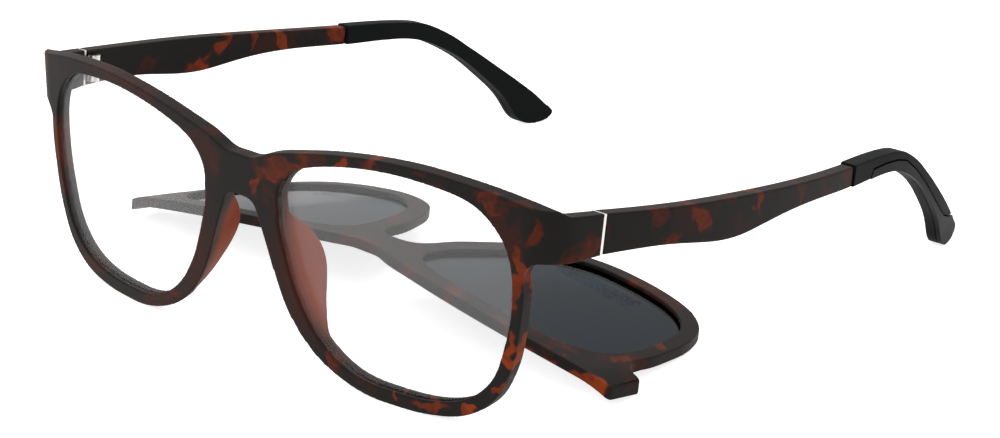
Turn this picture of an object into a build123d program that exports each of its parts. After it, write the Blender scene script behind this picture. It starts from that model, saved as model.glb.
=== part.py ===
# Magnetic clip-on glasses: a plastic frame with folding temples, and a sun clip lying behind it
from build123d import *
import math
import os

os.makedirs("parts", exist_ok=True)

# Common values, mm and degrees
overrun = 6.0
fit_gap = 0.05
skin = 0.9
foot_centre = (Align.CENTER, Align.CENTER, Align.MIN)

# Frame front
lens_width = 50.8
lens_height = 38.9
bridge_gap = 19.2
rim_top = 2.05
rim_side = 2.2
rim_bottom = 2.55
rim_depth = 3.0
wall_lean = 10.0
front_radius = 309.4
corner_radius = 8.0
side_lean = 7.5
side_depth = 18.1
nose_flare = 20.0

# Lens opening outline, as shares of half the lens width and half the lens height
opening_shares = [
    (-1.0, 0.41), (-0.976, 0.59), (-0.85, 0.765), (-0.669, 0.862), (-0.362, 0.95),
    (0.04, 1.0), (0.445, 0.975), (0.74, 0.878), (0.846, 0.775), (0.941, 0.615),
    (0.988, 0.436), (1.0, 0.2), (0.976, -0.13), (0.929, -0.367), (0.874, -0.567),
    (0.795, -0.711), (0.689, -0.829), (0.551, -0.917), (0.354, -0.978), (0.0, -1.0),
    (-0.315, -0.958), (-0.512, -0.845), (-0.669, -0.685), (-0.795, -0.469),
    (-0.894, -0.207), (-0.96, 0.05), (-1.0, 0.27),
]

# Front outline, as shares of its half width and of its height above or below the lens middle
brow_shares = [
    (0.0, 0.712), (0.05, 0.713), (0.112, 0.777), (0.216, 0.856), (0.32, 0.916),
    (0.431, 0.963), (0.575, 0.998), (0.69, 1.0), (0.815, 0.977), (0.93, 0.938),
    (1.02, 0.894), (1.08, 0.87), (1.18, 0.858),
]
cheek_shares = [
    (1.0, 0.35), (1.0, 0.24), (1.0, 0.13), (0.994, -0.014), (0.986, -0.155), (0.977, -0.296),
    (0.963, -0.43), (0.943, -0.564), (0.918, -0.689), (0.877, -0.805), (0.818, -0.905),
    (0.722, -0.975), (0.607, -1.0),
]
arch_shares = [
    (0.0, 0.356, 1.0), (0.053, 0.333, 1.0), (0.077, 0.282, 1.0), (0.096, 0.143, 1.0),
    (0.104, 0.0, 1.0), (0.129, -0.197, 1.0), (0.16, -0.379, 1.0), (0.188, -0.524, 1.0),
    (0.219, -0.638, 0.95), (0.249, -0.729, 0.8), (0.311, -0.843, 0.45),
    (0.399, -0.937, 0.12), (0.484, -0.987, 0.0), (0.607, -1.0, 0.0),
]

# Nose pads, moulded with the front
pad_depth = 9.4
pad_over_lens = 0.8
pad_cover = 0.7
pad_reach_share = 0.5
pad_shares = [
    (0.331, 0.2), (0.256, 0.42), (0.214, 0.52), (0.128, 0.74), (0.032, 0.9), (-0.059, 0.98),
    (-0.148, 1.0), (-0.247, 0.94), (-0.335, 0.84), (-0.424, 0.71), (-0.513, 0.59),
    (-0.602, 0.45), (-0.7, 0.33), (-0.8, 0.2),
]

# Demonstration lenses in a groove
lens_inset = 0.8
lens_thickness = 1.4
groove_depth = 0.7

# End pieces and hinges
end_height = 7.0
end_thickness = 2.7
end_rise = 13.2
end_run = 6.0
shoulder_run = 3.6
temple_slope = 7.5
plate_thickness = 0.5
tang_length = 3.5
tang_height = 3.0
tang_thickness = 1.0
tang_in = 1.6
knuckle_radius = 1.3
knuckle_height = 1.7
knuckle_gap = 0.06
knuckle_ahead = 1.6
pocket_gap = 0.15
leaf_length = 9.0
leaf_thickness = 1.0
leaf_depth = 0.6
leaf_height = 3.6
screw_radius = 0.6
screw_running_gap = 0.05
screw_head_radius = 0.95
screw_head_height = 0.45
screw_slot_width = 0.25

# Temples
temple_length = 123.5
temple_thickness = 3.0
temple_bow = 13.0
joint_gap = 0.1
tip_start_share = 0.555
tip_drop = 19.7
tip_swell = 0.3
tip_seam = 0.3
core_share = 0.16
core_thickness = 1.1
core_wall = 1.1
core_point_count = 6
inlay_depth = 1.0
inlay_seam = 0.12

# Temple plan, as shares of its length and of its inward bow
temple_plan_shares = [
    (0.0, 0.0), (0.065, 0.1), (0.162, 0.2), (0.259, 0.219), (0.356, 0.177), (0.453, 0.085),
    (0.551, -0.054), (0.648, -0.212), (0.745, -0.369), (0.834, -0.546), (0.919, -0.762),
    (1.0, -1.0),
]

# Temple side view, as shares of its length and of half its height at the hinge
temple_top_shares = [
    (0.0, 1.0), (0.061, 0.971), (0.251, 0.971), (0.445, 0.971), (0.51, 1.0), (0.571, 1.057),
]
temple_bottom_shares = [
    (0.0, -1.0), (0.068, -0.886), (0.117, -0.886), (0.166, -1.0), (0.215, -1.114), (0.259, -1.057),
    (0.313, -0.743), (0.36, -0.457), (0.408, -0.257), (0.457, -0.143), (0.51, -0.086),
    (0.571, 0.0),
]

# Temple tip side view, as shares of the temple length and of the tip's drop
tip_top_shares = [
    (0.502, 0.191), (0.551, 0.198), (0.599, 0.209), (0.648, 0.214), (0.684, 0.209), (0.717, 0.186),
    (0.749, 0.119), (0.78, 0.031), (0.811, -0.082), (0.842, -0.196), (0.874, -0.32),
    (0.907, -0.448), (0.935, -0.562), (0.964, -0.691), (0.986, -0.804), (0.997, -0.876),
]
tip_bottom_shares = [
    (0.502, -0.028), (0.555, -0.01), (0.607, 0.013), (0.648, 0.026), (0.688, 0.021),
    (0.717, -0.01), (0.749, -0.077), (0.781, -0.165), (0.81, -0.268), (0.838, -0.392),
    (0.866, -0.526), (0.891, -0.66), (0.911, -0.809), (0.927, -0.938), (0.946, -1.005),
    (0.968, -1.0), (0.989, -0.948),
]
inlay_shares = [
    (0.607, -0.309), (0.611, 0.026), (0.618, 0.103), (0.66, 0.121), (0.696, 0.119), (0.729, 0.088),
    (0.769, -0.036), (0.811, -0.201), (0.858, -0.407), (0.901, -0.588), (0.923, -0.67),
    (0.947, -0.711), (1.004, -0.732), (1.028, -0.732), (1.028, -1.237), (0.81, -1.237),
]

# Magnets
magnet_radius = 1.25
magnet_length = 1.8
clip_magnet_length = 1.4
magnet_share = 0.972
magnet_rise_share = 0.69

# Sun clip
clip_gap = 0.15
clip_depth = 2.0
tab_length = 4.8
tab_round = 1.2
tab_bend_length = 6.5
tab_bend_radius = 22.0
clip_rim_extra = 0.8
clip_brow_extra = 1.3
clip_lens_inset = 0.9
clip_lens_thickness = 1.0
clip_groove = 0.6
tab_rise = 10.4
clip_brow_shares = [
    (0.0, 0.712), (0.05, 0.713), (0.112, 0.777), (0.216, 0.86), (0.32, 0.92),
    (0.431, 0.967), (0.575, 0.998), (0.69, 1.0), (0.815, 0.977), (0.93, 0.938),
    (1.02, 0.9), (1.08, 0.87), (1.18, 0.84),
]
film_thickness = 0.12
film_shares = [(-0.39, -0.53), (0.33, -0.49), (0.36, -0.745), (-0.48, -0.755)]
clip_x = -2.8
clip_y = 47.6
clip_turn = -1.75
clip_tilt = 8.0

# Values worked out from the ones above
clip_front = -clip_gap - clip_depth
tip_start = temple_length * tip_start_share
core_length = temple_length * core_share
half_front = bridge_gap / 2 + lens_width + rim_side
lens_z = rim_bottom + lens_height / 2
end_z = lens_z + end_rise
brow_height = lens_height / 2 + rim_top
chin_height = lens_height / 2 + rim_bottom
front_height = brow_height + chin_height
through = side_depth + 2 * overrun
corner_turn = half_front / front_radius
side_turn = math.radians(90 - side_lean)
corner_x = (front_radius - corner_radius) * math.sin(corner_turn)
corner_y = front_radius - (front_radius - corner_radius) * math.cos(corner_turn)
side_start_y = corner_y - corner_radius * math.cos(side_turn)
side_x = (corner_x + corner_radius * math.sin(side_turn)
          + (side_depth - side_start_y) / math.tan(side_turn))


def across(s):
    """Sideways place of a point that lies s along the curved front."""
    return front_radius * math.sin(s / front_radius)


clip_reach = across(half_front) + tab_length


def grown(points, amount):
    """A closed clockwise outline moved outwards by an amount."""
    moved = []
    for i, (x, z) in enumerate(points):
        ax, az = points[i - 1]
        bx, bz = points[(i + 1) % len(points)]
        reach = math.hypot(bx - ax, bz - az)
        moved.append((x - (bz - az) / reach * amount, z + (bx - ax) / reach * amount))
    return moved


def on_front(u, v):
    """A front outline share as a place seen from the front."""
    height = brow_height if v > 0 else chin_height
    return across(u * half_front), lens_z + v * height


def upright(points, y):
    """Points of the front view set at a depth y."""
    return [(x, y, z) for x, z in points]


def on_lens(u, v):
    """A lens opening share as a place seen from the front."""
    s = (bridge_gap + lens_width + u * lens_width) / 2
    return across(s), lens_z + v * lens_height / 2


def lens_outline(grow, brow_drop):
    """Wearer's left lens opening, grown by an amount, its upper edge lowered by a drop."""
    points = []
    for u, v in opening_shares:
        x, z = on_lens(u, v)
        points.append((x, z - max(v, 0) * brow_drop))
    return grown(points, grow)


def lens_prism(grow, brow_drop=0):
    """Prism straight back through a lens opening."""
    outline = Spline(*upright(lens_outline(grow, brow_drop), -overrun), periodic=True)
    return extrude(make_face(outline), amount=side_depth + overrun, dir=(0, 1, 0))


def curved_band(inset, thickness):
    """Space between two depths behind the curved front surface."""
    height = front_height + 2 * overrun
    outer = Cylinder(front_radius - inset, height, align=foot_centre)
    inner = Cylinder(front_radius - inset - thickness, height, align=foot_centre)
    return Location((0, front_radius, -overrun)) * (outer - inner)


def plan_edges(inset, end_inset):
    """Front arc, corner arc and side line of the wearer's left half, seen from above."""
    radius = front_radius - inset
    turn = corner_turn
    start = (0, inset)
    middle = (radius * math.sin(turn / 2), front_radius - radius * math.cos(turn / 2))
    end = (radius * math.sin(turn), front_radius - radius * math.cos(turn))
    corner = corner_radius - inset
    target_x = side_x - end_inset * math.sin(side_turn)
    target_y = side_depth + end_inset * math.cos(side_turn)
    away = math.hypot(target_x - corner_x, target_y - corner_y)
    lean = math.atan2(target_y - corner_y, target_x - corner_x) + math.asin(corner / away)
    half_turn = (turn + lean) / 2
    corner_middle = (corner_x + corner * math.sin(half_turn), corner_y - corner * math.cos(half_turn))
    corner_end = (corner_x + corner * math.sin(lean), corner_y - corner * math.cos(lean))
    finish = (target_x + overrun * math.cos(lean), target_y + overrun * math.sin(lean))
    edges = [
        ThreePointArc(start, middle, end),
        ThreePointArc(end, corner_middle, corner_end),
        Line(corner_end, finish),
    ]
    return edges, start, finish


def plan_wall():
    """Curved wall of the wearer's left half, as tall as the front and more."""
    outer, outer_start, outer_end = plan_edges(0, 0)
    inner, inner_start, inner_end = plan_edges(rim_depth, end_thickness)
    edges = outer + inner + [Line(outer_start, inner_start), Line(outer_end, inner_end)]
    wall = extrude(make_face(edges), amount=front_height + 2 * overrun)
    return Pos(0, 0, -overrun) * wall


def clip_edges(inset):
    """Front arc of the clip's half and the bend of its tab, seen from above."""
    turn = math.asin((clip_reach - tab_bend_length) / front_radius)
    end_turn = turn + (tab_bend_length + overrun) / tab_bend_radius
    radius = front_radius - inset
    points = []
    for angle in (0, turn / 2, turn):
        points.append((radius * math.sin(angle), front_radius - radius * math.cos(angle)))
    bend_x = (front_radius - tab_bend_radius) * math.sin(turn)
    bend_y = front_radius - (front_radius - tab_bend_radius) * math.cos(turn)
    radius = tab_bend_radius - inset
    for angle in ((turn + end_turn) / 2, end_turn):
        points.append((bend_x + radius * math.sin(angle), bend_y - radius * math.cos(angle)))
    return [ThreePointArc(*points[:3]), ThreePointArc(*points[2:])], points[0], points[-1]


def clip_wall():
    """Curved wall of the clip's wearer's left half, as tall as the front and more."""
    outer, outer_start, outer_end = clip_edges(clip_front)
    inner, inner_start, inner_end = clip_edges(clip_front + clip_depth)
    edges = outer + inner + [Line(outer_start, inner_start), Line(outer_end, inner_end)]
    wall = extrude(make_face(edges), amount=front_height + 2 * overrun)
    return Pos(0, 0, -overrun) * wall


def arch_points(y):
    """Nose arch at a depth y, opening out backwards."""
    points = [on_front(u, v) for u, v, flare in arch_shares]
    moved = []
    for i, (x, z) in enumerate(points):
        ax, az = points[i - 1] if i else (-points[1][0], points[1][1])
        bx, bz = points[min(i + 1, len(points) - 1)]
        reach = math.hypot(bx - ax, bz - az)
        out = y * math.tan(math.radians(nose_flare)) * arch_shares[i][2]
        moved.append((x - (bz - az) / reach * out, z + (bx - ax) / reach * out))
    return moved


def arch_face(y):
    """Section of the nose arch space of the wearer's left half."""
    points = arch_points(y)
    last_x, last_z = points[-1]
    curve = Spline(*upright(points, y), tangents=[(1, 0, 0), (1, 0, 0)], tangent_scalars=[1, 1])
    sides = Polyline((last_x, y, last_z), (last_x, y, -overrun), (0, y, -overrun), (0, y, points[0][1]))
    return make_face([curve, sides])


def front_prism(side_height, top_shares):
    """Prism of the wearer's left half of a front, its cheek leaning inwards towards the back."""
    top = [on_front(u, v) for u, v in top_shares]
    cheek = [on_front(u, v) for u, v in cheek_shares]
    right = top[-1][0]
    foot_x, foot_z = cheek[-1]
    ceiling = front_height + overrun
    cheek_start = (cheek[0][0] + end_thickness, -overrun, side_height)
    corner = (right, -overrun, side_height)
    ground = (foot_x, -overrun, -overrun)
    under = [
        Line(corner, cheek_start),
        Spline(cheek_start, *upright(cheek, -overrun),
               tangents=[(-1, 0, 0), (-1, 0, 0)], tangent_scalars=[1, 1]),
        Line((foot_x, -overrun, foot_z), ground),
    ]
    over = [
        Spline(*upright(top, -overrun), tangents=[(1, 0, 0), (1, 0, 0)], tangent_scalars=[1, 1]),
        Line((right, -overrun, top[-1][1]), corner),
        Polyline((0, -overrun, top[0][1]), (0, -overrun, -overrun), ground),
    ]
    around = Polyline(corner, (right, -overrun, ceiling), (-overrun, -overrun, ceiling),
                      (-overrun, -overrun, -overrun), ground)
    lean = math.radians(wall_lean)
    shift = (overrun + front_radius * (1 - math.cos(corner_turn))) * math.tan(lean)
    straight = extrude(make_face(under + over), amount=through, dir=(0, 1, 0))
    leaning = extrude(make_face(under + [around]), amount=through,
                      dir=(-math.sin(lean), math.cos(lean), 0))
    return straight & (Pos(shift, 0, 0) * leaning)


def cut_along(points, sideways):
    """Prism across the object from closed side view points (y, z)."""
    face = make_face(Polyline(*[(0, y, z) for y, z in points], close=True))
    return extrude(face, amount=sideways, dir=(1, 0, 0))


def both(shape):
    """A left half joined to its mirror image."""
    return shape + mirror(shape, Plane.YZ)


def bar(x, y, z):
    """Box from three (low, high) pairs."""
    box = Box(x[1] - x[0], y[1] - y[0], z[1] - z[0], align=(Align.MIN, Align.MIN, Align.MIN))
    return Pos(x[0], y[0], z[0]) * box


def rod(radius, low, high):
    """Upright cylinder on the hinge axis."""
    cylinder = Cylinder(radius, high - low, align=foot_centre)
    return Pos(knuckle_x, knuckle_ahead, low) * cylinder


# Frame front: outline and plan, then the brow's step down to the end pieces
wide = (0, side_x + 2 * overrun)
end_bottom = end_z - end_height / 2
end_top = end_z + end_height / 2
slope_rise = math.tan(math.radians(temple_slope))
front_half = front_prism(end_bottom, brow_shares) & plan_wall()

ridge_y = side_depth - end_run
ridge_z = end_top + end_run * slope_rise
back_y = side_depth + overrun
shoulder_y = ridge_y - shoulder_run
brow_z = lens_z + brow_height
sky = brow_z + overrun
shoulder_edges = [
    Line((0, back_y, end_top - overrun * slope_rise), (0, ridge_y, ridge_z)),
    Spline((0, ridge_y, ridge_z), (0, shoulder_y, brow_z),
           tangents=[(0, -1, slope_rise), (0, -slope_rise, 1)], tangent_scalars=[1, 1]),
    Polyline((0, shoulder_y, brow_z), (0, shoulder_y, sky), (0, back_y, sky),
             (0, back_y, end_top - overrun * slope_rise)),
]
front_half = front_half - extrude(make_face(shoulder_edges), amount=side_x + overrun, dir=(1, 0, 0))

# Nose pads: fins behind the rims, shaped from the side, opening out backwards
pad_curve = [(0, share * pad_depth, on_front(0, v)[1]) for v, share in pad_shares]
pad_edges = [Spline(*pad_curve),
             Polyline(pad_curve[-1], (0, 0, pad_curve[-1][2]), (0, 0, pad_curve[0][2]), pad_curve[0])]
pad = extrude(make_face(pad_edges), amount=pad_reach_share * half_front, dir=(1, 0, 0))
behind = Location((0, front_radius, -overrun)) * Cylinder(
    front_radius - rim_depth + pad_cover, front_height + 2 * overrun, align=foot_centre)
pad = (pad & behind) - lens_prism(-pad_over_lens)
front_half = front_half + pad

nose_space = loft([arch_face(-overrun), arch_face(pad_depth + overrun)], ruled=True)
front_half = front_half - nose_space

# Lens openings with their grooves, and the lenses in them
groove = lens_prism(groove_depth) & curved_band(lens_inset - fit_gap, lens_thickness + 2 * fit_gap)
front_half = front_half - lens_prism(0) - groove
lens = lens_prism(groove_depth - fit_gap) & curved_band(lens_inset, lens_thickness)

# Hinges, in the temple's frame: x outwards, y along the temple, z up its hinge axis
temple_place = Location((0, side_depth, end_z), (-temple_slope, 0, 0))
knuckle_x = side_x - temple_thickness
knuckle_top = 1.5 * knuckle_height + knuckle_gap
tall = (-front_height, front_height)
beyond = temple_place * bar(wide, (-plate_thickness, through), tall)
plate = front_half & (temple_place * bar(wide, (-plate_thickness, 0), tall))
front_half = front_half - beyond

tongue = bar((knuckle_x - knuckle_radius, knuckle_x + knuckle_radius),
             (-plate_thickness, knuckle_ahead), (-knuckle_height / 2, knuckle_height / 2))
tongue = tongue + rod(knuckle_radius, -knuckle_height / 2, knuckle_height / 2)
tongue = tongue - rod(screw_radius + screw_running_gap, -knuckle_height, knuckle_height)
tang_x = side_x - tang_in
tang_back = -plate_thickness - tang_length
tang = bar((tang_x - tang_thickness / 2, tang_x + tang_thickness / 2),
           (tang_back, -plate_thickness), (-tang_height / 2, tang_height / 2))
tang_pocket = bar((tang_x - tang_thickness / 2 - fit_gap, tang_x + tang_thickness / 2 + fit_gap),
                  (tang_back - fit_gap, 0), (-tang_height / 2 - fit_gap, tang_height / 2 + fit_gap))
front_leaf = plate + temple_place * (tongue + tang)
front_half = front_half - temple_place * tang_pocket

leaf_place = Location((knuckle_x, knuckle_ahead, 0), (0, 0, -side_lean))
leaf_start = knuckle_radius + pocket_gap
leaf_x = (leaf_depth, leaf_depth + leaf_thickness)
slot_x = (leaf_depth - fit_gap, leaf_depth + leaf_thickness + fit_gap)
strap = bar(leaf_x, (leaf_start, leaf_length), (-leaf_height / 2, leaf_height / 2))
strap_slot = bar(slot_x, (0, leaf_length + fit_gap),
                 (-leaf_height / 2 - fit_gap, leaf_height / 2 + fit_gap))
head = bar(leaf_x, (leaf_start, 2 * leaf_start), (-knuckle_top, knuckle_top))
head_slot = bar(slot_x, (0, 2 * leaf_start + fit_gap),
                (-knuckle_top - fit_gap, knuckle_top + fit_gap))
temple_leaf = leaf_place * (strap + head)
knuckle_low = knuckle_height / 2 + knuckle_gap
for low, high in ((knuckle_low, knuckle_top), (-knuckle_top, -knuckle_low)):
    temple_leaf = temple_leaf + rod(knuckle_radius, low, high)
    temple_leaf = temple_leaf + leaf_place * bar(leaf_x, (0, 2 * leaf_start), (low, high))
screw_seat = knuckle_top - screw_head_height
temple_leaf = temple_leaf - rod(screw_radius + fit_gap / 2, -2 * knuckle_top, 2 * knuckle_top)
temple_leaf = temple_leaf - rod(screw_head_radius + fit_gap, screw_seat, 2 * knuckle_top)
screw_head = rod(screw_head_radius, screw_seat + fit_gap / 2, knuckle_top)
screw = rod(screw_radius, -knuckle_top, knuckle_top) + screw_head
slot = bar((-screw_head_radius * 2, screw_head_radius * 2), (-screw_slot_width / 2, screw_slot_width / 2),
           (knuckle_top - screw_head_height / 2, 2 * knuckle_top))
screw = screw - Pos(knuckle_x, knuckle_ahead, 0) * slot
hinge_space = rod(knuckle_radius + pocket_gap, -knuckle_top - fit_gap, knuckle_top + fit_gap)
hinge_space = hinge_space + bar((0, knuckle_x + knuckle_radius + pocket_gap), (-overrun, knuckle_ahead),
                                (-knuckle_top - fit_gap, knuckle_top + fit_gap))


def temple_wall(outer_in, thickness):
    """Bowed wall of the temple, seen from above, from a distance inside its outer face."""
    outer = [(side_x + temple_bow * bow - outer_in, temple_length * along, -front_height)
             for along, bow in temple_plan_shares]
    inner = [(x - thickness, y, z) for x, y, z in outer]
    last_out = (2 * outer[-1][0] - outer[-2][0], 2 * outer[-1][1] - outer[-2][1], -front_height)
    last_in = (last_out[0] - thickness, last_out[1], -front_height)
    edges = [Spline(*outer, last_out), Spline(*inner, last_in),
             Line(outer[0], inner[0]), Line(last_out, last_in)]
    return extrude(make_face(edges), amount=2 * front_height, dir=(0, 0, 1))


def side_points(shares, height):
    return [(0, temple_length * along, height * up) for along, up in shares]


# Temples: side view and plan, cut off where the tip begins, with a core that runs into the tip
half_end = end_height / 2
top = side_points(temple_top_shares, half_end)
bottom = side_points(temple_bottom_shares, half_end)
temple_side = extrude(make_face([Spline(*top), Spline(*bottom), Line(top[0], bottom[0]),
                                 Line(top[-1], bottom[-1])]), amount=side_x + overrun, dir=(1, 0, 0))
temple = temple_side & temple_wall(0, temple_thickness)
temple = temple & bar(wide, (joint_gap, tip_start - tip_seam), tall)

tip_top = side_points(tip_top_shares, tip_drop)
tip_bottom = side_points(tip_bottom_shares, tip_drop)
tip_side_edges = [Spline(*tip_top, *tip_bottom[::-1]), Line(tip_top[0], tip_bottom[0])]
tip_side = extrude(make_face(tip_side_edges), amount=side_x + overrun, dir=(1, 0, 0))
tip_whole = tip_side & temple_wall(-tip_swell, temple_thickness + 2 * tip_swell)
tip_whole = tip_whole & bar(wide, (tip_start, 2 * temple_length), tall)


def core(gap):
    """Core inside the tip, or the pocket for it with a gap."""
    upper = [(x, y, z - core_wall + gap) for x, y, z in tip_top[:core_point_count]]
    lower = [(x, y, z + core_wall - gap) for x, y, z in tip_bottom[:core_point_count]]
    edges = [Spline(*upper), Spline(*lower), Line(upper[0], lower[0]), Line(upper[-1], lower[-1])]
    side = extrude(make_face(edges), amount=side_x + overrun, dir=(1, 0, 0))
    body = side & temple_wall(inlay_depth - gap, core_thickness + 2 * gap)
    return body & bar(wide, (tip_start - 2 * tip_seam, tip_start + core_length + gap), tall)


temple = (temple + core(0)) - hinge_space
temple = temple - leaf_place * strap_slot - leaf_place * head_slot
inlay_line = [(temple_length * along, tip_drop * up) for along, up in inlay_shares]
layer = temple_wall(-2 * tip_swell, inlay_depth + tip_swell)
deep_layer = temple_wall(-2 * tip_swell, inlay_depth + tip_swell + fit_gap)
inlay = (tip_whole & cut_along(grown(inlay_line, -inlay_seam), side_x + overrun)) & layer
tip = tip_whole - (cut_along(grown(inlay_line, inlay_seam), side_x + overrun) & deep_layer) - core(fit_gap)

# Magnets of the front, in pockets from behind
magnet_x = across(magnet_share * half_front)
magnet_z = lens_z + magnet_rise_share * brow_height
magnet_face = front_radius - math.sqrt(front_radius ** 2 - magnet_x ** 2)


def magnet_rod(radius, start, end):
    """Cylinder along y at the magnet's place."""
    cylinder = Cylinder(radius, end - start, align=foot_centre)
    return Location((magnet_x, start, magnet_z), (-90, 0, 0)) * cylinder


magnet_start = magnet_face + skin
magnet = magnet_rod(magnet_radius, magnet_start, magnet_start + magnet_length)
front_half = front_half - magnet_rod(magnet_radius + fit_gap / 2, magnet_start - fit_gap / 2, side_depth)

# Sun clip, made where it sits on the front
tab_bottom = lens_z + tab_rise
clip_half = front_prism(tab_bottom, clip_brow_shares) & clip_wall()
clip_half = clip_half & bar((0, clip_reach), (-overrun, side_depth), (-overrun, sky))
tab_end = clip_half.faces().sort_by(Axis.X)[-1]
clip_half = fillet(tab_end.edges().sort_by(SortBy.LENGTH)[:2], tab_round)
arch = arch_points(0)
nose_edges = [
    Spline(*upright(arch, -overrun), tangents=[(1, 0, 0), (1, 0, 0)], tangent_scalars=[1, 1]),
    Polyline((arch[-1][0], -overrun, arch[-1][1]), (arch[-1][0], -overrun, -overrun),
             (0, -overrun, -overrun), (0, -overrun, arch[0][1])),
]
clip_half = clip_half - extrude(make_face(nose_edges), amount=through, dir=(0, 1, 0))

# Its lenses in their grooves, each with a film label, and its magnets opposite the front's
clip_lens_at = clip_front + clip_lens_inset
clip_slot = curved_band(clip_lens_at - fit_gap, clip_lens_thickness + 2 * fit_gap)
clip_edge = clip_groove - clip_rim_extra
clip_half = clip_half - lens_prism(-clip_rim_extra, clip_brow_extra)
clip_half = clip_half - (lens_prism(clip_edge, clip_brow_extra) & clip_slot)
clip_lens = lens_prism(clip_edge - fit_gap, clip_brow_extra)
clip_lens = clip_lens & curved_band(clip_lens_at, clip_lens_thickness)
film_line = [on_lens(u, v) for u, v in film_shares]
film_face = make_face(Polyline(*upright(film_line, -overrun), close=True))
film_prism = extrude(film_face, amount=through, dir=(0, 1, 0))
film = film_prism & curved_band(clip_lens_at - film_thickness, film_thickness)
clip_magnet_end = magnet_face - clip_gap - fit_gap - magnet_radius * math.sin(corner_turn)
clip_magnet_start = clip_magnet_end - clip_magnet_length
clip_magnet = magnet_rod(magnet_radius, clip_magnet_start, clip_magnet_end)
clip_half = clip_half - magnet_rod(magnet_radius + fit_gap / 2, clip_magnet_start - fit_gap / 2, side_depth)

# Pieces, left ones mirrored to the right
pieces = {"front_frame": both(front_half)}
pairs = {
    "demo_lens": lens,
    "frame_magnet": magnet,
    "hinge_front_leaf": front_leaf,
    "temple": temple_place * temple,
    "hinge_temple_leaf": temple_place * temple_leaf,
    "hinge_screw": temple_place * screw,
    "temple_tip": temple_place * tip,
    "tip_inlay": temple_place * inlay,
}
for name, shape in pairs.items():
    pieces[name + "_left"] = shape
    pieces[name + "_right"] = mirror(shape, Plane.YZ)

# The clip lies on its back behind the front, brow towards it
clip_pieces = {"clip_frame": both(clip_half)}
for name, shape in {"clip_lens": clip_lens, "clip_film": film, "clip_magnet": clip_magnet}.items():
    clip_pieces[name + "_left"] = shape
    clip_pieces[name + "_right"] = mirror(shape, Plane.YZ)
turned = Location((clip_x, clip_y, 0), (0, 0, 180 + clip_turn))
tipped = Location((0, 0, 0), (-90 + clip_tilt, 0, 0))
lying = turned * tipped * Location((0, 0, -lens_z))
floor = pieces["front_frame"].bounding_box().min.Z
rise = floor - (lying * clip_pieces["clip_frame"]).bounding_box().min.Z
for name, shape in clip_pieces.items():
    pieces[name] = Pos(0, 0, rise) * lying * shape

# The part's frame: the middle of the whole on the surface it rests on
boxes = [shape.bounding_box() for shape in pieces.values()]
middle_x = (min(box.min.X for box in boxes) + max(box.max.X for box in boxes)) / 2
middle_y = (min(box.min.Y for box in boxes) + max(box.max.Y for box in boxes)) / 2
lowest = min(box.min.Z for box in boxes)
part_place = Pos(-middle_x, -middle_y, -lowest)
for name, shape in pieces.items():
    placed = part_place * shape
    placed.label = name
    export_step(placed, "parts/" + name + ".step")
    box = placed.bounding_box()
    print(name, round(placed.volume, 2), "x", round(box.min.X, 2), round(box.max.X, 2),
          "y", round(box.min.Y, 2), round(box.max.Y, 2), "z", round(box.min.Z, 2), round(box.max.Z, 2))
hinge_at = part_place * temple_place * Pos(knuckle_x, knuckle_ahead, 0)
print("middle", middle_x, middle_y, lowest, "hinge at", hinge_at.position, "clip rise", rise)
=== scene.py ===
import math

import bpy
from mathutils import Euler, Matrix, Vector

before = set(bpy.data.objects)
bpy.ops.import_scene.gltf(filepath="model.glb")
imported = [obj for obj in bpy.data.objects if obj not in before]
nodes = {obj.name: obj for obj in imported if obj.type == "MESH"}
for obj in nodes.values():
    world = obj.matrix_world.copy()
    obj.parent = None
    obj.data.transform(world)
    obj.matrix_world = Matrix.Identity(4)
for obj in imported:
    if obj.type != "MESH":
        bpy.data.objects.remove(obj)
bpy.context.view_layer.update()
mm = 0.001
print("frame loaded,", len(nodes), "nodes")


# helpers for colours and node trees

def linear(hexColour):
    # an sRGB hex value as Blender's linear colour
    channels = [int(hexColour[i:i + 2], 16) / 255 for i in (1, 3, 5)]
    return [c / 12.92 if c < 0.04045 else ((c + 0.055) / 1.055) ** 2.4 for c in channels] + [1.0]


def addNode(tree, kind, settings, inputs):
    # inputs holds a value, or another node's socket to link
    node = tree.nodes.new("ShaderNode" + kind)
    for name, value in settings.items():
        setattr(node, name, value)
    for name, value in inputs.items():
        if isinstance(value, bpy.types.NodeSocket):
            tree.links.new(value, node.inputs[name])
        else:
            node.inputs[name].default_value = value
    return node


def newMaterial(name):
    material = bpy.data.materials.new(name)
    material.use_nodes = True
    material.node_tree.nodes.clear()
    return material, material.node_tree


def finishMaterial(tree, shader):
    addNode(tree, "OutputMaterial", {}, {"Surface": shader.outputs[0]})


def dress(material, *names):
    for name in names:
        slots = nodes[name].data.materials
        slots.clear()
        slots.append(material)


def bothSides(name):
    return [name + "_left", name + "_right"]


# moulded nylon with a soft-touch lacquer over a printed tortoiseshell:
# nearly black and matt, with warm blotches whose edges run into the dark

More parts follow.
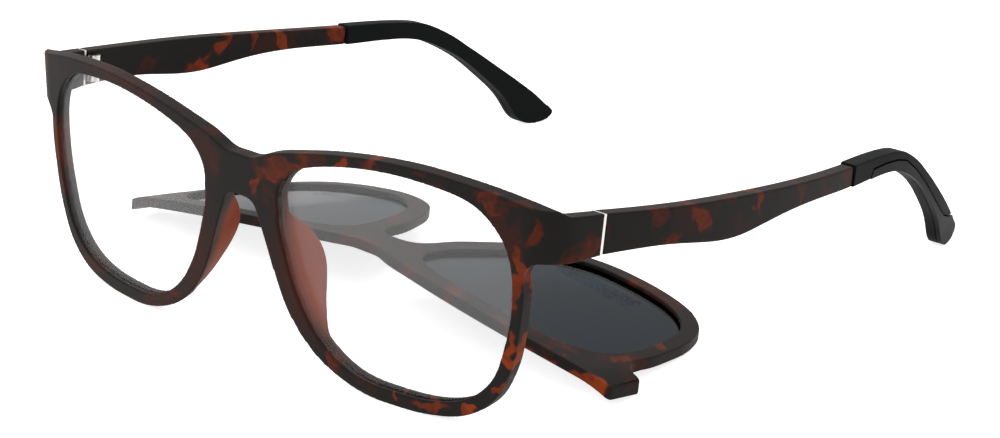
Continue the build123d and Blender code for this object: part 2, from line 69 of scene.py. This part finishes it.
tortoise = {
    "dark": "#171413",
    "edge": "#38170f",
    "warm": "#8b3611",
    "edgeAt": 0.4,  # where the edge colour stands between dark and warm
    "roughness": 0.6,
    "ior": 1.45,
    "shine": 0.12,  # soft-touch lacquer mirrors less than bare plastic
    "sheen": 0.08,  # and it has a faint bloom where it is seen flat
    "sheenRoughness": 0.45,
    "sheenTint": "#d8c4b4",
    "vein": 2.6,  # size of the darker veins in a blotch, mm
    "veinFrom": 0.35,  # a blotch is darkest below this level of the vein pattern
    "veinTo": 0.6,  # and unchanged above this one
    "veinWarmth": 0.7,  # what a vein leaves of the blotch
    "blotch": 9.0,  # size of the faint blotches all over, mm
    "blotchFrom": 0.54,  # a faint blotch begins at this level of its pattern
    "blotchTo": 0.66,  # and is full at this one
    "fadeFrom": 0.7,  # a placed blotch is full up to this share of its half sizes
    "fadeTo": 1.25,  # and gone at this one
    "ragged": 4.5,  # size of the waves along a blotch's edge, mm
    "raggedDepth": 8.0,  # mm
    "grain": 0.35,  # the lacquer's grain, drawn coarser than its 0.05 mm so that it shows
    "grainDepth": 0.005,  # mm
    "grainStrength": 0.6,
}

# each blotch: its place, its half sizes, its turn about the depth axis and its strength from 0 to 1;
# mm and degrees, in the frame that all pieces share
deep = 400.0  # a half size that goes right through the piece

frontBlotches = [
    ((12, -68, 37.5), (6.5, deep, 2.0), -18, 0.6),
    ((6, -68, 35), (2.2, deep, 2.0), 30, 0.5),
    ((4.5, -68.5, 32.5), (1.6, deep, 2.2), 20, 0.7),
    ((25.5, -68, 41.2), (0.9, deep, 1.4), 20, 0.8),
    ((31.5, -67, 42.4), (2.0, deep, 0.9), 0, 0.6),
    ((42, -66, 42.6), (3.0, deep, 0.7), 0, 0.3),
    ((56, -64, 40.6), (3.4, deep, 1.6), 30, 0.6),
    ((61, -63.5, 41.5), (4.0, deep, 0.9), 0, 0.4),
    ((64, -62, 36.5), (1.1, deep, 3.2), 25, 0.5),
    ((68, -58, 33.2), (1.4, deep, 1.6), 0, 0.5),
    ((60.8, -63, 29), (1.3, deep, 6.0), 4, 0.75),
    ((60, -63, 14.5), (1.3, deep, 3.6), 6, 0.95),
    ((57.4, -63.6, 8.3), (0.9, deep, 1.9), 20, 0.8),
    ((52, -64.5, 2.8), (2.4, deep, 1.0), -8, 1.0),
    ((43, -66, 2.1), (4.0, deep, 0.9), 4, 0.7),
    ((36.5, -66.8, 1.6), (1.1, deep, 0.8), 0, 0.7),
    ((22, -68, 4.8), (2.6, deep, 1.0), 35, 0.6),
    ((-60, -62.4, 27.5), (1.2, deep, 2.6), 0, 0.5),
    ((-59.5, -62.8, 20), (1.2, deep, 2.2), 0, 0.45),
    ((-12, -68, 37), (5, deep, 1.5), 20, 0.3),
    ((-30, -68, 42), (7, deep, 1.2), 0, 0.3),
    ((-48, -66, 4), (4, deep, 1.2), 10, 0.35),
    ((-20, -68, 6), (3, deep, 1.2), -30, 0.5),
]
# the nose pads and the flange that carries them show the warm layer under the print
noseFlange = [
    ((14, -58, 19), (14, 10.4, 25), 0, 1.0),
    ((-14, -58, 19), (14, 10.4, 25), 0, 1.0),
    ((-60, -59, 24), (3, 7.5, 6), 0, 0.5),
]
templeLeftBlotches = [
    ((70, -39.5, 35.7), (deep, 1.0, 2.6), -15, 0.5),
    ((71, -30, 33.8), (deep, 1.8, 3.6), 18, 0.6),
    ((71, -36.5, 31.2), (deep, 2.0, 1.5), 30, 0.5),
    ((71, -21, 35.8), (deep, 3.5, 0.9), 10, 0.35),
    ((71, -15, 32.4), (deep, 1.3, 2.4), 20, 0.6),
    ((70, -1, 30.6), (deep, 1.2, 3.2), 15, 0.5),
    ((70, 9, 27.0), (deep, 3.0, 1.2), -20, 0.3),
    ((70, 15, 28.0), (deep, 1.6, 2.0), 15, 0.4),
]
templeRightBlotches = [
    ((-69, -14, 32), (deep, 1.7, 3.8), -30, 0.85),
    ((-69, -20.2, 28.6), (deep, 3.4, 1.8), 30, 0.95),
    ((-68, -6.6, 31), (deep, 0.9, 2.6), -20, 0.7),
    ((-68, 0.8, 29.9), (deep, 1.5, 3.6), 15, 0.9),
    ((-66, 14.6, 28.5), (deep, 3.6, 2.2), 0, 0.75),
    ((-68, -34, 32), (deep, 3.2, 1.6), 20, 0.35),
    ((-68, -46, 33), (deep, 2.4, 1.4), 0, 0.35),
    ((-67, 24, 26.5), (deep, 2.0, 1.4), 0, 0.4),
]
clipBlotches = [
    ((48, -43.9, 5.6), (7, 1.8, 1.7), 0, 0.9),
    ((58, -43.5, 3.8), (6, 1.8, 1.9), 0, 1.0),
    ((50, -40, 6), (3.5, 1.4, deep), 0, 0.5),
    ((57.6, -32, 4.6), (1.5, 2.3, deep), 30, 0.6),
    ((56.5, -22, 3.4), (1.3, 2.0, deep), -20, 0.6),
    ((40, -42, 8), (5, 1.2, deep), 0, 0.5),
    ((25, -40.5, 10), (4, 1.6, deep), -20, 0.6),
    ((12, -41, 11), (3, 2, deep), 0, 0.5),
    ((-8, -36, 11), (3, 2.4, deep), 30, 0.5),
    ((-25, -41, 9), (5, 1.2, deep), 0, 0.4),
    ((-60, -38, 5), (3, 2, deep), 0, 0.5),
    ((-62, -20, 3), (1.6, 4, deep), 0, 0.5),
    ((-45, -6, 3), (4, 1.4, deep), 0, 0.5),
    ((-14, -18, 6), (1.5, 4, deep), 20, 0.5),
    ((36, -3, 3), (5, 1.6, deep), 0, 0.5),
    ((14, -14, 5), (1.6, 3, deep), 30, 0.5),
]


def spread(tree, ragged, warmth, blotches, turnAxis):
    # adds the blotches to warmth; where two meet, the stronger one shows
    for centre, halfSizes, turn, strength in blotches:
        turned = [math.radians(turn) if axis == turnAxis else 0.0 for axis in "XYZ"]
        local = addNode(tree, "Mapping", {"vector_type": "TEXTURE"}, {
            "Vector": ragged,
            "Location": Vector(centre) * mm,
            "Rotation": turned,
            "Scale": Vector(halfSizes) * mm,
        })
        reach = addNode(tree, "VectorMath", {"operation": "LENGTH"}, {0: local.outputs[0]})
        inside = addNode(tree, "MapRange", {"interpolation_type": "SMOOTHSTEP"}, {
            "Value": reach.outputs["Value"],
            "From Min": tortoise["fadeTo"],
            "From Max": tortoise["fadeFrom"],
            "To Max": strength,
        })
        warmth = addNode(tree, "Math", {"operation": "MAXIMUM"}, {
            0: warmth,
            1: inside.outputs[0],
        }).outputs[0]
    return warmth


def softTouchTortoise(name, blotches, bare, turnAxis, seed, faintStrength):
    # bare is where no veins and no ragged edges are printed
    material, tree = newMaterial(name)
    place = addNode(tree, "TexCoord", {}, {}).outputs["Object"]
    waves = addNode(tree, "TexNoise", {}, {
        "Vector": place,
        "Scale": 1 / (tortoise["ragged"] * mm),
        "Detail": 2.0,
    })
    centred = addNode(tree, "VectorMath", {"operation": "SUBTRACT"}, {
        0: waves.outputs["Color"],
        1: (0.5, 0.5, 0.5),  # the middle of the noise, so that the waves go both ways
    })
    ragged = addNode(tree, "VectorMath", {"operation": "MULTIPLY_ADD"}, {
        0: centred.outputs[0],
        1: [tortoise["raggedDepth"] * mm] * 3,
        2: place,
    }).outputs[0]
    faint = addNode(tree, "TexNoise", {"noise_dimensions": "4D"}, {
        "Vector": ragged,
        "W": seed,
        "Scale": 1 / (tortoise["blotch"] * mm),
        "Detail": 1.0,
    })
    warmth = addNode(tree, "MapRange", {"interpolation_type": "SMOOTHSTEP"}, {
        "Value": faint.outputs[0],
        "From Min": tortoise["blotchFrom"],
        "From Max": tortoise["blotchTo"],
        "To Max": faintStrength,
    }).outputs[0]
    warmth = spread(tree, ragged, warmth, blotches, turnAxis)
    veins = addNode(tree, "TexNoise", {}, {
        "Vector": ragged,
        "Scale": 1 / (tortoise["vein"] * mm),
        "Detail": 2.0,
    })
    thin = addNode(tree, "MapRange", {}, {
        "Value": veins.outputs[0],
        "From Min": tortoise["veinFrom"],
        "From Max": tortoise["veinTo"],
        "To Min": tortoise["veinWarmth"],
        "To Max": 1.0,
    })
    veined = addNode(tree, "Math", {"operation": "MULTIPLY"}, {0: warmth, 1: thin.outputs[0]})
    warmth = spread(tree, place, veined.outputs[0], bare, turnAxis)
    ramp = addNode(tree, "ValToRGB", {}, {"Fac": warmth})
    stops = ramp.color_ramp.elements
    stops[0].color = linear(tortoise["dark"])
    stops[1].color = linear(tortoise["warm"])
    stops.new(tortoise["edgeAt"]).color = linear(tortoise["edge"])
    grain = addNode(tree, "TexNoise", {}, {
        "Vector": place,
        "Scale": 1 / (tortoise["grain"] * mm),
        "Detail": 1.0,
    })
    bump = addNode(tree, "Bump", {}, {
        "Height": grain.outputs[0],
        "Distance": tortoise["grainDepth"] * mm,
        "Strength": tortoise["grainStrength"],
    })
    shader = addNode(tree, "BsdfPrincipled", {}, {
        "Base Color": ramp.outputs[0],
        "Roughness": tortoise["roughness"],
        "IOR": tortoise["ior"],
        "Specular IOR Level": tortoise["shine"],
        "Sheen Weight": tortoise["sheen"],
        "Sheen Roughness": tortoise["sheenRoughness"],
        "Sheen Tint": linear(tortoise["sheenTint"]),
        "Normal": bump.outputs[0],
    })
    finishMaterial(tree, shader)
    return material


tortoisePieces = [
    # node, material, blotches, bare parts, the axis they turn about, seed and strength of the faint ones
    ("front_frame", "softTouchTortoiseFront", frontBlotches, noseFlange, "Y", 3.0, 0.36),
    ("temple_left", "softTouchTortoiseTempleLeft", templeLeftBlotches, [], "X", 5.0, 0.14),
    ("temple_right", "softTouchTortoiseTempleRight", templeRightBlotches, [], "X", 8.0, 0.3),
    ("clip_frame", "softTouchTortoiseClip", clipBlotches, [], "Z", 12.0, 0.35),
]
for piece, name, blotches, bare, turnAxis, seed, faintStrength in tortoisePieces:
    dress(softTouchTortoise(name, blotches, bare, turnAxis, seed, faintStrength), piece)
print("tortoiseshell done")


# clear and tinted plastics: light goes straight through the thin sheet,
# and its polished faces mirror more of the room the flatter they are seen

mirrorPower = 5.0  # how fast the mirror grows towards a flat view, as on glass and clear plastic
lensFinish = {
    # name: tint of what is seen through one face, mirror head on, mirror at the edge, roughness;
    # the clear lens mirrors little but the white room, so a rough mirror looks alike, with less grain
    "mouldedAcrylicDemoLens": ("#fdfdfd", 0.05, 0.9, 0.3),
    "polarisedSmokeLens": ("#5f6870", 0.02, 0.36, 0.06),
    "clearCoverFilm": ("#fafbfb", 0.0, 0.0, 0.3),  # no mirror of its own, it only dims the lens
}


def polishedSheet(name):
    tint, headOn, atEdge, roughness = lensFinish[name]
    material, tree = newMaterial(name)
    facing = addNode(tree, "LayerWeight", {}, {"Blend": 0.5})
    steep = addNode(tree, "Math", {"operation": "POWER"}, {
        0: facing.outputs["Facing"],
        1: mirrorPower,
    })
    mirror = addNode(tree, "Math", {"operation": "MULTIPLY_ADD"}, {
        0: steep.outputs[0],
        1: atEdge - headOn,
        2: headOn,
    })
    through = addNode(tree, "BsdfTransparent", {}, {"Color": linear(tint)})
    gloss = addNode(tree, "BsdfAnisotropic", {}, {"Roughness": roughness})
    shader = addNode(tree, "MixShader", {}, {
        0: mirror.outputs[0],
        1: through.outputs[0],
        2: gloss.outputs[0],
    })
    finishMaterial(tree, shader)
    return material


dress(polishedSheet("mouldedAcrylicDemoLens"), *bothSides("demo_lens"))
dress(polishedSheet("polarisedSmokeLens"), *bothSides("clip_lens"))
dress(polishedSheet("clearCoverFilm"), *bothSides("clip_film"))
print("lenses done")


# soft rubber over the temple ends: black with a fine grain that kills the shine;
# the band let into it is the same rubber, moulded smoother

rubberFinish = {
    # name: colour, roughness, grain in mm, its depth in mm
    "softTouchRubberTip": ("#101112", 0.6, 0.3, 0.005),
    "smoothRubberBand": ("#101113", 0.5, 0.6, 0.003),
}
rubber = {
    "ior": 1.5,
    "shine": 0.06,  # the grain swallows most of the mirror
    "scuff": 12.0,  # size of the rubbed patches, mm
    "rubbed": 0.06,  # how much smoother the shiniest patch is
    "dull": 0.08,  # and how much rougher the dullest
    "grainStrength": 0.6,
}


def mouldedRubber(name):
    colour, roughness, grainSize, depth = rubberFinish[name]
    material, tree = newMaterial(name)
    place = addNode(tree, "TexCoord", {}, {}).outputs["Object"]
    grain = addNode(tree, "TexNoise", {}, {"Vector": place, "Scale": 1 / (grainSize * mm)})
    scuffs = addNode(tree, "TexNoise", {}, {
        "Vector": place,
        "Scale": 1 / (rubber["scuff"] * mm),
        "Detail": 3.0,
    })
    worn = addNode(tree, "MapRange", {}, {
        "Value": scuffs.outputs[0],
        "To Min": roughness - rubber["rubbed"],
        "To Max": roughness + rubber["dull"],
    })
    bump = addNode(tree, "Bump", {}, {
        "Height": grain.outputs[0],
        "Distance": depth * mm,
        "Strength": rubber["grainStrength"],
    })
    shader = addNode(tree, "BsdfPrincipled", {}, {
        "Base Color": linear(colour),
        "Roughness": worn.outputs[0],
        "IOR": rubber["ior"],
        "Specular IOR Level": rubber["shine"],
        "Normal": bump.outputs[0],
    })
    finishMaterial(tree, shader)
    return material


dress(mouldedRubber("softTouchRubberTip"), *bothSides("temple_tip"))
dress(mouldedRubber("smoothRubberBand"), *bothSides("tip_inlay"))
print("rubber done")


# metals: nickel silver leaves with drawn brush lines, turned steel screws, nickel-plated magnets

metalFinish = {
    # name: colour, roughness, spacing of the brush lines in mm, their depth in mm
    "brushedNickelSilver": ("#d2cdc6", 0.28, 0.12, 0.004),
    "turnedSteelScrew": ("#b9bcc0", 0.22, 0.10, 0.003),
    "nickelPlate": ("#c9c6bf", 0.18, 0.25, 0.002),
}
brush = {
    "stretch": 40,  # a brush line is this many times longer than it is wide
    "smoother": 0.06,  # how far the roughness goes below its middle along the lines
    "rougher": 0.10,  # and above it
    "strength": 0.5,
}


def brushedMetal(name):
    colour, roughness, spacing, depth = metalFinish[name]
    material, tree = newMaterial(name)
    place = addNode(tree, "TexCoord", {}, {}).outputs["Object"]
    across = 1 / (spacing * mm)
    drawn = addNode(tree, "Mapping", {}, {
        "Vector": place,
        "Scale": (across, across, across / brush["stretch"]),
    })
    lines = addNode(tree, "TexNoise", {}, {"Vector": drawn.outputs[0], "Scale": 1.0, "Detail": 1.0})
    sheen = addNode(tree, "MapRange", {}, {
        "Value": lines.outputs[0],
        "To Min": roughness - brush["smoother"],
        "To Max": roughness + brush["rougher"],
    })
    bump = addNode(tree, "Bump", {}, {
        "Height": lines.outputs[0],
        "Distance": depth * mm,
        "Strength": brush["strength"],
    })
    shader = addNode(tree, "BsdfPrincipled", {}, {
        "Base Color": linear(colour),
        "Metallic": 1.0,
        "Roughness": sheen.outputs[0],
        "Normal": bump.outputs[0],
    })
    finishMaterial(tree, shader)
    return material


leaves = bothSides("hinge_front_leaf") + bothSides("hinge_temple_leaf")
dress(brushedMetal("brushedNickelSilver"), *leaves)
dress(brushedMetal("turnedSteelScrew"), *bothSides("hinge_screw"))
dress(brushedMetal("nickelPlate"), *bothSides("frame_magnet"), *bothSides("clip_magnet"))
print("metals done")


# tumbled edges: moulded plastic comes out of the polishing drum with every edge softened

softEdge = {
    # node: width of its softened edges in mm
    "clip_frame": 0.25,
    "temple_left": 0.4,
    "temple_right": 0.4,
    "temple_tip_left": 0.35,
    "temple_tip_right": 0.35,
}
edgeTool = {
    "sameCorner": 0.001,  # corners nearer than this are one, mm
    "flat": 0.6,  # facets that bend less than this many degrees are joined first
    "roundSurface": 30.0,  # a crease that bends less than this many degrees isn't an edge
    "steps": 3,
}
frontSkin = {
    "spacing": 0.15,  # mm
    "relax": 0.5,  # share of the way to its neighbours that a point moves in a round
    "rounds": 14,
}
filmLift = 0.06  # mm, so that the film and the lens below it share no face


def soften(name, width):
    piece = nodes[name]
    piece.modifiers.new("joinCorners", "WELD").merge_threshold = edgeTool["sameCorner"] * mm
    plain = piece.modifiers.new("plainFaces", "DECIMATE")
    plain.decimate_type = "DISSOLVE"
    plain.angle_limit = math.radians(edgeTool["flat"])
    bevel = piece.modifiers.new("softEdge", "BEVEL")
    bevel.width = width * mm
    bevel.segments = edgeTool["steps"]
    bevel.limit_method = "ANGLE"
    bevel.angle_limit = math.radians(edgeTool["roundSurface"])
    bevel.use_clamp_overlap = False
    piece.modifiers.new("evenShade", "WEIGHTED_NORMAL")


def remouldFront():
    # an even skin over the whole front, relaxed until its edges are as round as the real ones
    front = nodes["front_frame"]
    skin = front.modifiers.new("evenSkin", "REMESH")
    skin.mode = "VOXEL"
    skin.voxel_size = frontSkin["spacing"] * mm
    skin.use_smooth_shade = True
    relax = front.modifiers.new("softEdge", "SMOOTH")
    relax.factor = frontSkin["relax"]
    relax.iterations = frontSkin["rounds"]


def liftFilm(name):
    clear = nodes[name].modifiers.new("liftClear", "DISPLACE")
    clear.direction = "Z"
    clear.mid_level = 0.0
    clear.strength = filmLift * mm


for name, width in softEdge.items():
    soften(name, width)
remouldFront()
for name in bothSides("clip_film"):
    liftFilm(name)
print("edges softened")


# the table, the room and the lamps

studio = {
    "floorSize": 6.0,  # m
    "floorDrop": 0.02,  # mm that the floor lies below the part
    "floorColour": "#e8e8e8",
    "backdrop": 1.0,  # what the camera and mirrors see of the room
    "roomLight": 0.55,  # what the room gives matt surfaces
    "floorLift": 0.8,  # added for the camera so that the open floor is white
}


def seenDirectly(tree):
    # 1 for rays from the camera, mirrors and clear plastic, 0 for the light on matt surfaces
    path = addNode(tree, "LightPath", {}, {})
    mirrors = addNode(tree, "Math", {"operation": "MAXIMUM"}, {
        0: path.outputs["Is Camera Ray"],
        1: path.outputs["Is Glossy Ray"],
    })
    return addNode(tree, "Math", {"operation": "MAXIMUM"}, {
        0: mirrors.outputs[0],
        1: path.outputs["Is Transmission Ray"],
    }).outputs[0]


def paleFloor():
    material, tree = newMaterial("mattLaminateFloor")
    seen = seenDirectly(tree)
    lift = addNode(tree, "Math", {"operation": "MULTIPLY"}, {0: seen, 1: studio["floorLift"]})
    flat = addNode(tree, "BsdfDiffuse", {}, {"Color": linear(studio["floorColour"])})
    glow = addNode(tree, "Emission", {}, {"Strength": lift.outputs[0]})
    finishMaterial(tree, addNode(tree, "AddShader", {}, {0: flat.outputs[0], 1: glow.outputs[0]}))
    bpy.ops.mesh.primitive_plane_add(size=studio["floorSize"], location=(0, 0, -studio["floorDrop"] * mm))
    floor = bpy.context.object
    floor.name = "floor"
    floor.data.materials.append(material)


def room():
    world = bpy.data.worlds.new("studioRoom")
    world.use_nodes = True
    bpy.context.scene.world = world
    tree = world.node_tree
    tree.nodes.clear()
    level = addNode(tree, "MapRange", {}, {
        "Value": seenDirectly(tree),
        "To Min": studio["roomLight"],
        "To Max": studio["backdrop"],
    })
    light = addNode(tree, "Background", {}, {"Strength": level.outputs[0], "Color": (1, 1, 1, 1)})
    addNode(tree, "OutputWorld", {}, {"Surface": light.outputs[0]})


softboxes = [
    # name, place in m, side in m, power in W
    ("keySoftbox", (0.35, -0.75, 0.80), 0.60, 3.0),
    ("fillSoftbox", (-0.70, -0.45, 0.55), 0.60, 1.2),
    ("topSoftbox", (0.0, 0.10, 0.95), 0.80, 3.0),
]


def lamps():
    for name, place, side, power in softboxes:
        lamp = bpy.data.lights.new(name, "AREA")
        lamp.shape = "SQUARE"
        lamp.size = side
        lamp.energy = power
        holder = bpy.data.objects.new(name, lamp)
        holder.location = place
        holder.rotation_euler = (-Vector(place)).to_track_quat("-Z", "Y").to_euler()
        bpy.context.collection.objects.link(holder)


shot = {
    # the photograph's own angle, found from the rims, the temple ends and the lens outlines
    "target": (27.3, -31.7, 22.4),  # mm
    "azimuth": 43.95,
    "elevation": 19.88,
    "distance": 461.6,  # mm
    "lens": 93.3,  # mm
    "sensor": 36.0,  # mm
    "nearest": 10.0,  # mm, nothing nearer than this is drawn
}


def camera():
    lens = bpy.data.cameras.new("camera")
    lens.lens = shot["lens"]
    lens.sensor_width = shot["sensor"]
    lens.clip_start = shot["nearest"] * mm
    eye = bpy.data.objects.new("camera", lens)
    turn = Euler((math.radians(90 - shot["elevation"]), 0, math.radians(shot["azimuth"])))
    eye.rotation_euler = turn
    back = turn.to_matrix() @ Vector((0, 0, 1))
    eye.location = (Vector(shot["target"]) + back * shot["distance"]) * mm
    bpy.context.collection.objects.link(eye)
    bpy.context.scene.camera = eye


paleFloor()
room()
lamps()
camera()
bpy.context.scene.view_settings.view_transform = "Standard"
print("studio done")
